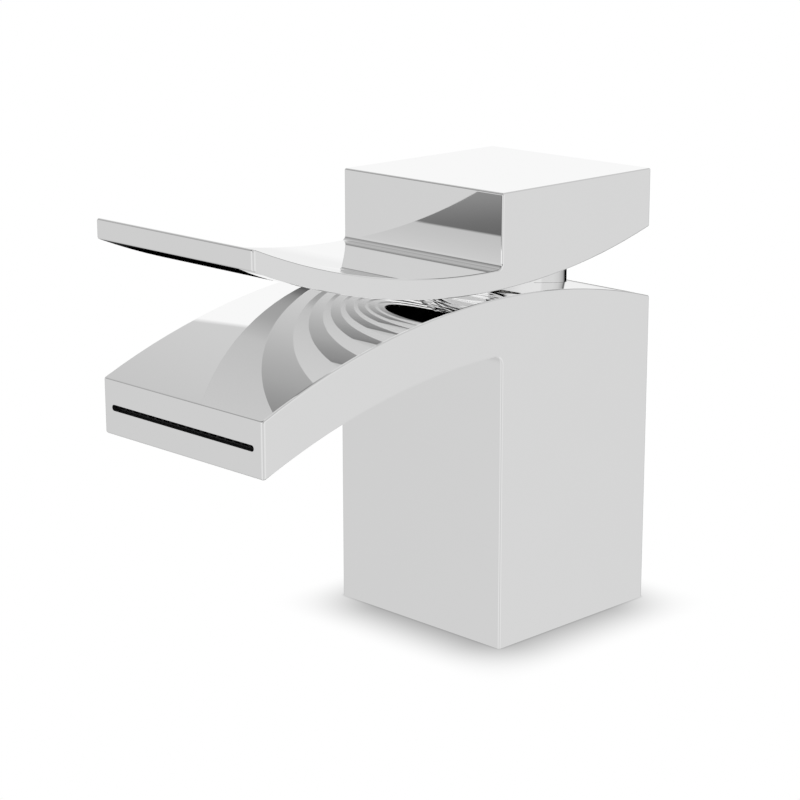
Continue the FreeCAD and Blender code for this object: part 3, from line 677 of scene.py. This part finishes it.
def eased(first: Reading, second: Reading, radius: float) -> Reading:
    """Join two faces along a rounded edge.

    Args:
        first: Gaps and outward directions of the one face at a set of places.
        second: Those of the other face.
        radius: Radius of the edge between them.

    Returns:
        Gaps and outward directions of the joined form.
    """
    (first_gap, first_out), (second_gap, second_out) = first, second
    fold = (first_out * second_out).sum(axis=1)
    spread = np.maximum(1.0 - fold * fold, TINY)
    first_share = (first_gap + radius - fold * (second_gap + radius)) / spread
    second_share = (second_gap + radius - fold * (first_gap + radius)) / spread
    arm = first_share[:, None] * first_out + second_share[:, None] * second_out
    length = np.linalg.norm(arm, axis=1)
    rounded = (first_share > 0.0) & (second_share > 0.0)
    flat_out = np.where((first_gap > second_gap)[:, None], first_out, second_out)
    gap = np.where(rounded, length - radius, np.maximum(first_gap, second_gap))
    return gap, np.where(rounded[:, None], arm / np.maximum(length, TINY)[:, None], flat_out)


@dataclass(frozen=True)
class Skin:
    """Outer form of a casting: a side view carried through its width, with rounded edges.

    The end is the face at the spout's nose or the lever's tip, whose upright corners are rounder.
    A face may be polished a few tenths of a degree out of true, which shows only in its mirror image.
    """

    faces: tuple[Union[Plane, Arc, Cove], ...]
    end: Plane
    half_width: float
    edge_radius: float = 0.6
    corner_radius: float = 0.85
    slack: float = 0.1
    agreement: float = 0.5
    mouth_depth: float = 12.0
    crease: float = 35.0
    polished: Optional[Plane] = None
    polished_slack: float = 0.2
    polished_agreement: float = 0.999

    def normals(self, points: np.ndarray) -> Reading:
        """Exact normals of the form.

        Args:
            points: Places in millimetres.

        Returns:
            How far each place lies outside the form, and the unit normals.
        """
        flank = np.zeros_like(points)
        flank[:, 0] = np.sign(points[:, 0])
        form = np.abs(points[:, 0]) - self.half_width, flank
        form = eased(form, self.reading(self.end, points), self.corner_radius)
        for face in self.faces:
            form = eased(form, self.reading(face, points), self.edge_radius)
        return form

    @staticmethod
    def reading(face: Union[Plane, Arc, Cove], points: np.ndarray) -> Reading:
        """Gaps and outward directions of one face of the side view."""
        side = points[:, 1:]
        return face.gap(side), np.column_stack([np.zeros(len(points)), face.normal(side)])


def merged(node: str, name: str) -> bpy.types.Mesh:
    """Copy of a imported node's mesh, with the doubled vertices joined.

    Args:
        node: Name of the node.
        name: Name of the copy.

    Returns:
        The copy, without materials.
    """
    mesh = bpy.data.meshes.new(name)
    sheet = bmesh.new()
    sheet.from_mesh(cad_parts[node].data)
    bmesh.ops.remove_doubles(sheet, verts=sheet.verts, dist=MERGE_DISTANCE)
    sheet.to_mesh(mesh)
    sheet.free()
    mesh.materials.clear()
    return mesh


def vectors(items: Any, name: str) -> np.ndarray:
    """Read a vector of every item of a mesh.

    Args:
        items: The mesh's vertices, polygons or corner normals.
        name: Name of the vector.

    Returns:
        The vectors, one to a row.
    """
    flat = np.zeros(len(items) * 3)
    items.foreach_get(name, flat)
    return flat.reshape(-1, 3)


def triangles(mesh: bpy.types.Mesh) -> np.ndarray:
    """Read the triangles of a mesh.

    Args:
        mesh: A mesh that is all triangles.

    Returns:
        Numbers of the vertices, one triangle to a row.
    """
    flat = np.zeros(len(mesh.loops), dtype=np.int32)
    mesh.loops.foreach_get("vertex_index", flat)
    return flat.reshape(-1, 3)


def shade(mesh: bpy.types.Mesh, skin: Skin, exact: np.ndarray, outer: np.ndarray) -> None:
    """Give the outer faces of a casting their exact normals.

    Args:
        mesh: The casting's mesh.
        skin: Its outer form.
        exact: Normals of the outer form at the vertices.
        outer: Which triangles lie on the outer form.
    """
    mesh.shade_smooth()
    mesh.set_sharp_from_angle(angle=math.radians(skin.crease))
    corner = triangles(mesh)
    shading = vectors(mesh.corner_normals, "vector").reshape(-1, 3, 3)
    shading[outer] = exact[corner[outer]]
    if skin.polished:
        side = vectors(mesh.vertices, "co")[:, 1:] / MM
        close = np.abs(skin.polished.gap(side)) < skin.polished_slack
        straight = np.array([0.0, *skin.polished.out])
        flat = vectors(mesh.polygons, "normal") @ straight > skin.polished_agreement
        shading[outer & flat & close[corner].all(axis=1)] = straight
    mesh.normals_split_custom_set(shading.reshape(-1, 3).tolist())


class Side(IntEnum):
    """Faces of a casting, in the order of its finishes."""

    OUTER = 0
    BORE = 1
    MOUTH = 2


def resurfaced(
    node: str,
    skin: Skin,
    finishes: tuple[Finish, Finish, Finish],
    levels: tuple[float, float],
    trims: Iterable[Trim] = (),
    taper: Optional[Taper] = None,
) -> bpy.types.Object:
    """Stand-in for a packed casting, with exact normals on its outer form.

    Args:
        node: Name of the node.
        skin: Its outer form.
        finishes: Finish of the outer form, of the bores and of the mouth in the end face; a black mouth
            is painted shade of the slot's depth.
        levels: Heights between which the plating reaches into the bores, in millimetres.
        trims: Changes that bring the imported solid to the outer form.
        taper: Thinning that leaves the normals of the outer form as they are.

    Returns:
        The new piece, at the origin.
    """
    name = node + "_casting"
    mesh = merged(node, name)
    for finish in finishes:
        mesh.materials.append(finish.material())
    points = vectors(mesh.vertices, "co") / MM
    for trim in trims:
        points = trim.moved(points)
    gap, exact = skin.normals(points)
    if taper:
        points = taper.moved(points)
    mesh.vertices.foreach_set("co", points.ravel() * MM)
    mesh.update()
    corner = triangles(mesh)
    facing = vectors(mesh.polygons, "normal")
    agree = (exact[corner] * facing[:, None]).sum(axis=2) > skin.agreement
    outer = (agree & (np.abs(gap) < skin.slack)[corner]).all(axis=1)
    in_mouth = (skin.end.gap(points[:, 1:]) > -skin.mouth_depth)[corner].all(axis=1)
    in_reach = ((points[:, 2] > levels[0]) & (points[:, 2] < levels[1]))[corner].any(axis=1)
    sides = np.select([outer, in_mouth, in_reach], [Side.OUTER, Side.MOUTH, Side.OUTER], Side.BORE)
    mesh.polygons.foreach_set("material_index", sides.astype(np.int32))
    shade(mesh, skin, exact, outer)
    piece = bpy.data.objects.new(name, mesh)
    bpy.context.scene.collection.objects.link(piece)
    plated = np.count_nonzero(sides == Side.OUTER)
    LOG.info("%s: %d faces, %d of them plated", name, len(sides), plated)
    return piece


@dataclass
class ThreadTree:
    """Geometry Nodes tree: a helical thread ridge in each of a row of holes."""

    name: str = "thread_in_holes"
    steps_per_turn: int = 40
    ridge_sides: int = 3

    def group(self) -> bpy.types.NodeTree:
        """Build the tree.

        Returns:
            The node group, with its sizes as named inputs.
        """
        tree = bpy.data.node_groups.new(self.name, "GeometryNodeTree")
        for label, kind in (
            ("Holes", "NodeSocketInt"),
            ("First Hole", "NodeSocketVector"),
            ("Step", "NodeSocketVector"),
            ("Radius", "NodeSocketFloat"),
            ("Turns", "NodeSocketFloat"),
            ("Length", "NodeSocketFloat"),
            ("Ridge", "NodeSocketFloat"),
            ("Finish", "NodeSocketMaterial"),
        ):
            tree.interface.new_socket(label, in_out="INPUT", socket_type=kind)
        tree.interface.new_socket("Geometry", in_out="OUTPUT", socket_type="NodeSocketGeometry")
        graph = Graph(tree)
        sizes = graph.node("NodeGroupInput").outputs
        helix = graph.node(
            "GeometryNodeCurveSpiral",
            inputs={
                "Resolution": self.steps_per_turn,
                "Rotations": sizes["Turns"],
                "Start Radius": sizes["Radius"],
                "End Radius": sizes["Radius"],
                "Height": sizes["Length"],
            },
        )
        upright = graph.node(
            "GeometryNodeSetCurveNormal", {"mode": "Z_UP"}, {"Curve": helix.outputs[0]}
        )
        profile = graph.node(
            "GeometryNodeCurvePrimitiveCircle",
            {"mode": "RADIUS"},
            {"Resolution": self.ridge_sides, "Radius": sizes["Ridge"]},
        )
        ridge = graph.node(
            "GeometryNodeCurveToMesh",
            inputs={
                "Curve": upright.outputs[0],
                "Profile Curve": profile.outputs[0],
                "Fill Caps": True,
            },
        )
        row = graph.node(
            "GeometryNodeMeshLine",
            {"mode": "OFFSET"},
            {"Count": sizes["Holes"], "Start Location": sizes["First Hole"], "Offset": sizes["Step"]},
        )
        copies = graph.node(
            "GeometryNodeInstanceOnPoints",
            inputs={"Points": row.outputs[0], "Instance": ridge.outputs[0]},
        )
        solid = graph.node("GeometryNodeRealizeInstances", inputs={0: copies.outputs[0]})
        painted = graph.node(
            "GeometryNodeSetMaterial",
            inputs={"Geometry": solid.outputs[0], "Material": sizes["Finish"]},
        )
        graph.node("NodeGroupOutput", inputs={0: painted.outputs[0]})
        return tree


def grown(name: str, tree: bpy.types.NodeTree, sizes: dict[str, Any]) -> bpy.types.Object:
    """Run a Geometry Nodes tree and keep its result as a plain mesh.

    Args:
        name: Name of the piece.
        tree: The node group.
        sizes: Values of its inputs, by name.

    Returns:
        An object at the origin that holds the mesh.
    """
    piece = bpy.data.objects.new(name, bpy.data.meshes.new(name))
    bpy.context.scene.collection.objects.link(piece)
    modifier = piece.modifiers.new(name, "NODES")
    modifier.node_group = tree
    sockets = {item.name: item.identifier for item in tree.interface.items_tree}
    for label, value in sizes.items():
        modifier[sockets[label]] = value
    graph = bpy.context.evaluated_depsgraph_get()
    mesh = bpy.data.meshes.new_from_object(piece.evaluated_get(graph), depsgraph=graph)
    piece.modifiers.remove(modifier)
    piece.data = mesh
    mesh.name = name
    return piece


@dataclass(frozen=True)
class Thread:
    """Thread in a row of holes that open into the hollow under the base; sizes are in metres."""

    name: str
    first_hole: tuple[float, float]
    radius: float
    pitch: float
    turns: float
    holes: int = 1
    step: float = 0.0
    ridge_share: float = 0.36

    def build(self, tree: bpy.types.NodeTree, roof: float) -> None:
        """Add the thread as a piece of its own.

        Args:
            tree: The node group that makes threads.
            roof: Level of the hollow's roof, which the holes start from.
        """
        sizes = {
            "Holes": self.holes,
            "First Hole": (*self.first_hole, roof + self.pitch / 2),
            "Step": (self.step, 0.0, 0.0),
            "Radius": self.radius,
            "Turns": self.turns,
            "Length": self.turns * self.pitch,
            "Ridge": self.ridge_share * self.pitch,
            "Finish": BRASS.material(),
        }
        piece = grown(self.name, tree, sizes)
        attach(piece, "base")
        LOG.info("%s: %d faces", self.name, len(piece.data.polygons))


@dataclass
class Casting:
    """Column and spout, with the threads under the base; the outer form is in millimetres."""

    half_width: float = 30.3
    half_depth: float = 29.65
    reach: float = 111.5
    packed_top: Arc = Arc((-28.95, -107.0), 203.0)
    packed_underside: Arc = Arc((-29.65, -132.75), 213.0)
    top: Arc = Arc((-28.6, -113.0), 208.5)
    underside: Arc = Arc((-29.65, -129.75), 210.0, hollow=True)
    throat_radius: float = 2.5
    crease: float = 15.0
    plated_levels: tuple[float, float] = (86.0, 97.0)
    hollow_roof: float = 30.0 * MM
    threads: tuple[Thread, ...] = (
        Thread(
            "inlet_threads",
            first_hole=(-7.2 * MM, -5.8 * MM),
            radius=4.5 * MM,
            pitch=1.0 * MM,
            turns=11.0,
            holes=2,
            step=14.4 * MM,
        ),
        Thread(
            "stud_thread",
            first_hole=(0.0, 12.0 * MM),
            radius=3.4 * MM,
            pitch=1.25 * MM,
            turns=10.0,
        ),
    )

    def skin(self) -> Skin:
        """Describe the outside of column and spout.

        Returns:
            The outer form.
        """
        nose = Plane((-1.0, 0.0), self.reach)
        front = Cove(-self.half_depth, self.underside, self.throat_radius, wall_is_below=True)
        back = Plane((1.0, 0.0), self.half_depth)
        return Skin((self.top, front, back), nose, self.half_width, crease=self.crease)

    def build(self) -> None:
        """Dress the casting, its strip and its seal, and cut the threads."""
        # The slot's cast walls in the nose take the black moulding as painted shade of the deep slot.
        finishes = CHROME, CAST_BRASS, BLACK_MOULDING_AND_PAINTED_SHADE
        trims = Trim(self.packed_top, self.top), Trim(self.packed_underside, self.underside)
        casting = resurfaced("body", self.skin(), finishes, self.plated_levels, trims)
        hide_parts("body")
        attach(casting, "base")
        dress("outlet_strip", BLACK_MOULDING_AND_PAINTED_SHADE)
        dress("base_seal", SEAL_RUBBER)
        tree = ThreadTree().group()
        for thread in self.threads:
            thread.build(tree, self.hollow_roof)


@dataclass
class Handle:
    """Block and lever, with the screw that clamps them and its plug; sizes are in millimetres."""

    half_width: float = 29.4
    block_front: float = 28.9
    block_back: float = 29.95
    block_top: float = 122.28
    reach: float = 112.8
    sweep_centre: tuple[float, float] = (-31.15, 308.6)
    sweep_radius: float = 211.3
    thickness: float = 5.3
    root_radius: float = 1.5
    taper_start: float = -62.0
    taper_height: float = 0.4
    front_lean: float = 0.6
    front_level: float = 112.0
    plated_levels: tuple[float, float] = (97.0, 116.0)

    @property
    def underside(self) -> Arc:
        """Sweep of the lever's lower face."""
        return Arc(self.sweep_centre, self.sweep_radius)

    def skin(self) -> Skin:
        """Describe the outside of block and lever.

        Returns:
            The outer form, with the block's front polished as if it leaned about its front level.
        """
        top = Plane((0.0, 1.0), self.block_top)
        lever_top = Arc(self.sweep_centre, self.sweep_radius - self.thickness, hollow=True)
        front = Cove(-self.block_front, lever_top, self.root_radius, wall_is_below=False)
        tip = Plane((-1.0, 0.0), self.reach)
        back = Plane((1.0, 0.0), self.block_back)
        lean = math.radians(self.front_lean)
        out = -math.cos(lean), -math.sin(lean)
        polished = Plane(out, -out[0] * self.block_front + out[1] * self.front_level)
        return Skin((top, front, self.underside, back), tip, self.half_width, polished=polished)

    def build(self) -> None:
        """Dress the handle's pieces."""
        finishes = CHROME, CAST_ZINC, CHROME
        taper = Taper(self.underside, self.taper_start, -self.reach, self.taper_height)
        casting = resurfaced("handle", self.skin(), finishes, self.plated_levels, taper=taper)
        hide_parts("handle")
        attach(casting, "lever")
        dress("set_screw", STEEL)
        dress("screw_plug", GREY_PLASTIC)


@dataclass
class Cartridge:
    """Ceramic cartridge with its nut and the collar over it."""

    finishes: dict[str, Finish] = field(
        default_factory=lambda: {
            "cartridge_base": WHITE_PLASTIC,
            "port_seals": SEAL_RUBBER,
            "disc_seals": SEAL_RUBBER,
            "fixed_disc": ALUMINA,
            "moving_disc": ALUMINA,
            "disc_carrier": WHITE_PLASTIC,
            "cartridge_housing": GREY_PLASTIC,
            "rotor": WHITE_PLASTIC,
            "pivot_pin": STEEL,
            "stem": NICKEL,
            "hot_limit_ring": RED_PLASTIC,
            "retaining_nut": BRASS,
            "collar_seal": SEAL_RUBBER,
            "collar": CHROME_CAP,
        }
    )

    def build(self) -> None:
        """Dress the cartridge's pieces."""
        for node, finish in self.finishes.items():
            dress(node, finish)


@dataclass
class Surroundings:
    """Walls, ceiling and panels that the chrome mirrors, by heading and height in degrees.

    A heading is 0 straight ahead of the camera and grows to its right. The front panel stands
    ahead, with a faint glow far below it. The gap is a black patch behind the camera, and the side
    panel stands behind it on the left. The brink is the edge between walls and ceiling, which lifts
    at its left end, and dusk darkens the left wall below it.
    """

    strength: float = 0.985
    wall_levels: tuple[tuple[float, float], ...] = (
        (-180.0, 0.58), (-145.0, 0.76), (-125.0, 0.8), (-100.0, 0.66), (-85.0, 0.63), (-45.0, 0.56),
        (-30.0, 0.53), (-14.0, 0.27), (-11.0, 0.17), (-9.5, 0.0), (30.0, 0.0), (41.0, 0.4), (58.0, 0.61),
        (75.0, 0.68), (99.0, 0.685), (103.0, 0.78), (138.0, 0.765), (180.0, 0.58),
    )
    ceiling_levels: tuple[tuple[float, float], ...] = (
        (-180.0, 0.5), (-120.0, 0.2), (-94.0, 0.115), (-88.0, 0.142), (-84.0, 0.262), (-70.0, 0.385),
        (-40.0, 0.53), (-15.0, 0.625), (66.0, 0.58), (180.0, 0.5),
    )
    front_left: Fade = ((-22.0, 0.0), (-15.0, 1.0))
    front_right: Fade = ((18.0, 1.0), (34.0, 0.0))
    front_rise: Fade = ((-11.5, 0.0), (-6.0, 1.0))
    front_tone: Fade = ((0.0, 0.885), (4.0, 0.955))
    glow: Fade = ((-27.0, 0.28), (-23.0, 0.0))
    glow_tone: float = 0.5
    gap_sides: Fade = ((158.0, 0.0), (168.0, 1.0))
    gap_height: float = 5.0
    gap_reach: Fade = ((8.0, 1.0), (11.0, 0.0))
    side_heading: float = -136.0
    side_reach: Fade = ((30.0, 1.0), (36.0, 0.0))
    side_rise: Fade = ((-4.0, 0.0), (2.0, 1.0))
    side_tone: float = 0.97
    brink: Fade = ((-87.0, 20.1), (-15.0, 29.7))
    brink_lift: Fade = ((-90.0, 1.1), (-87.0, 0.0))
    brink_blur: Fade = ((-0.3, 0.0), (0.3, 1.0))
    dusk_heading: float = -88.0
    dusk_reach: Fade = ((6.0, 1.0), (14.0, 0.0))
    dusk: Fade = ((9.5, 0.0), (20.3, 0.2))

    def build(self, scene: bpy.types.Scene, aim: tuple[float, float, float]) -> None:
        """Surround the object with even light, and with the panels in its mirror images.

        Args:
            scene: The scene.
            aim: Direction that the camera looks in.
        """
        world = bpy.data.worlds.new("surroundings")
        world.use_nodes = True
        scene.world = world
        graph = Graph(world.node_tree)
        path = graph.node("ShaderNodeLightPath").outputs
        mirrored = graph.node(
            "ShaderNodeBackground",
            inputs={"Color": self.panels(graph, aim), "Strength": self.strength},
        )
        even = graph.node("ShaderNodeBackground", inputs={"Color": grey(1.0)})
        both = graph.mix(path["Is Glossy Ray"], even, mirrored)
        graph.node("ShaderNodeOutputWorld", inputs={"Surface": both.outputs[0]})

    def panels(self, graph: Graph, aim: tuple[float, float, float]) -> bpy.types.NodeSocket:
        """Colour in each direction.

        Args:
            graph: The world's graph.
            aim: Direction that the camera looks in.

        Returns:
            The colour.
        """
        heading, height = self.bearings(graph, aim)
        turn = self.turn(heading)
        left = graph.level(heading, *self.front_left, "SMOOTHSTEP")
        right = graph.level(heading, *self.front_right, "SMOOTHSTEP")
        in_front = left * right
        low = graph.ramp(turn, self.around(self.wall_levels))
        low = graph.blend(in_front * graph.level(height, *self.glow), low, grey(self.glow_tone))
        rises = graph.level(height, *self.front_rise, "SMOOTHSTEP")
        lit = graph.blend(rises * in_front, low, graph.level(height, *self.front_tone))
        behind = graph.level(abs(heading), *self.gap_sides, "SMOOTHSTEP")
        within = graph.level(abs(height - self.gap_height), *self.gap_reach, "SMOOTHSTEP")
        shaded = graph.blend(behind * within, lit, grey(0.0))
        beside = graph.level(abs(heading - self.side_heading), *self.side_reach)
        beside = beside * graph.level(height, *self.side_rise)
        walls = graph.blend(beside, shaded, grey(self.side_tone))
        ceiling = graph.ramp(turn, self.around(self.ceiling_levels))
        dim = graph.level(abs(heading - self.dusk_heading), *self.dusk_reach)
        walls = graph.blend(dim * graph.level(height, *self.dusk), walls, ceiling)
        edge = graph.level(heading, *self.brink) + graph.level(heading, *self.brink_lift)
        return graph.blend(graph.level(height - edge, *self.brink_blur), walls, ceiling)

    @staticmethod
    def bearings(graph: Graph, aim: tuple[float, float, float]) -> tuple[Value, Value]:
        """Measure directions from the camera's.

        Args:
            graph: The world's graph.
            aim: Direction that the camera looks in.

        Returns:
            Heading and height of each direction.
        """
        x, y, z = graph.split(graph.node("ShaderNodeTexCoord").outputs["Generated"])
        ahead_x, ahead_y, _ = Vector((aim[0], aim[1], 0.0)).normalized()
        ahead = x * ahead_x + y * ahead_y
        right = x * ahead_y - y * ahead_x
        heading = graph.math("ARCTAN2", right, ahead) * math.degrees(1.0)
        return heading, graph.math("ARCSINE", z) * math.degrees(1.0)

    @staticmethod
    def turn(heading: Operand) -> Operand:
        """Place of a heading on a ramp that goes once round the horizon."""
        return heading / FULL_TURN + 0.5

    def around(self, levels: Iterable[tuple[float, float]]) -> list[tuple[float, float]]:
        """Stops of a ramp once round the horizon, from (heading, level) pairs."""
        return [(self.turn(heading), level) for heading, level in levels]


@dataclass
class Studio:
    """White ground with a soft shadow, the surroundings and the camera."""

    camera_place: tuple[float, float, float] = (415.445 * MM, -446.385 * MM, 217.198 * MM)
    camera_aim: tuple[float, float, float] = (-0.68872, 0.67922, -0.25361)
    camera_roll: float = -0.081
    lens: float = 102.04
    sensor: float = 36.0
    clip_start: float = 10.0 * MM
    floor_half: float = 4.0
    floor_squares: int = 8
    floor_tone: float = 0.8
    shadow_place: tuple[float, float] = (3.4 * MM, -4.3 * MM)
    shadow_half: float = 32.4 * MM
    shadow_blur: float = 15.0 * MM
    shadow_depth: float = 0.677
    contact_reach: float = 1.5 * MM
    contact: Fade = ((0.5, 0.78), (0.9, 1.0))
    glossy_bounces: int = 14
    surroundings: Surroundings = field(default_factory=Surroundings)

    def build(self) -> None:
        """Make the camera, the floor and the surroundings."""
        scene = bpy.context.scene
        scene.view_settings.view_transform = "Standard"
        scene.cycles.max_bounces = 2 * self.glossy_bounces
        scene.cycles.glossy_bounces = self.glossy_bounces
        self.add_camera(scene)
        self.add_floor(scene)
        self.surroundings.build(scene, self.camera_aim)

    def add_camera(self, scene: bpy.types.Scene) -> None:
        """Put the camera where the photograph was taken from.

        Args:
            scene: The scene.
        """
        data = bpy.data.cameras.new("camera")
        data.sensor_width = self.sensor
        data.lens = self.lens
        data.clip_start = self.clip_start
        camera = bpy.data.objects.new("camera", data)
        turn = Vector(self.camera_aim).to_track_quat("-Z", "Y").to_matrix().to_4x4()
        roll = Matrix.Rotation(math.radians(self.camera_roll), 4, "Z")
        camera.matrix_world = Matrix.Translation(self.camera_place) @ turn @ roll
        scene.collection.objects.link(camera)
        scene.camera = camera

    def add_floor(self, scene: bpy.types.Scene) -> None:
        """Lay a white floor that the camera sees with its shadow and the chrome does not mirror.

        Args:
            scene: The scene.
        """
        mesh = bpy.data.meshes.new("floor")
        sheet = bmesh.new()
        squares = self.floor_squares
        bmesh.ops.create_grid(sheet, x_segments=squares, y_segments=squares, size=self.floor_half)
        sheet.to_mesh(mesh)
        sheet.free()
        floor = bpy.data.objects.new("floor", mesh)
        scene.collection.objects.link(floor)
        material = bpy.data.materials.new("white_floor")
        material.use_nodes = True
        graph = Graph(material.node_tree)
        path = graph.node("ShaderNodeLightPath").outputs
        seen = graph.node("ShaderNodeEmission", inputs={"Color": self.light(graph)})
        lit = graph.node("ShaderNodeBsdfDiffuse", inputs={"Color": grey(self.floor_tone)})
        clear = graph.node("ShaderNodeBsdfTransparent")
        inner = graph.mix(path["Is Glossy Ray"], lit, clear)
        outer = graph.mix(path["Is Camera Ray"], inner, seen)
        graph.node("ShaderNodeOutputMaterial", inputs={"Surface": outer.outputs[0]})
        mesh.materials.append(material)

    def light(self, graph: Graph) -> Value:
        """Draw a soft square shadow, and a dark line where the column stands.

        Args:
            graph: The floor's graph.

        Returns:
            The light on the floor.
        """
        x, y, _ = graph.split(graph.place())
        core, rim = self.shadow_half - self.shadow_blur, self.shadow_half + self.shadow_blur
        across, along = (
            graph.level(abs(place - middle), (core, 1.0), (rim, 0.0), "SMOOTHSTEP")
            for place, middle in zip((x, y), self.shadow_place)
        )
        nearby = graph.node("ShaderNodeAmbientOcclusion", inputs={"Distance": self.contact_reach})
        line = graph.level(Value(graph, nearby.outputs["AO"]), *self.contact)
        return (1.0 - self.shadow_depth * across * along) * line


def main() -> None:
    """Build the pieces, the finishes and the studio."""
    logging.basicConfig(level=logging.INFO, format="%(name)s %(message)s")
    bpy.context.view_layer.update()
    Studio().build()
    for part in (Casting(), Cartridge(), Handle()):
        part.build()


if __name__ == "__main__":
    main()
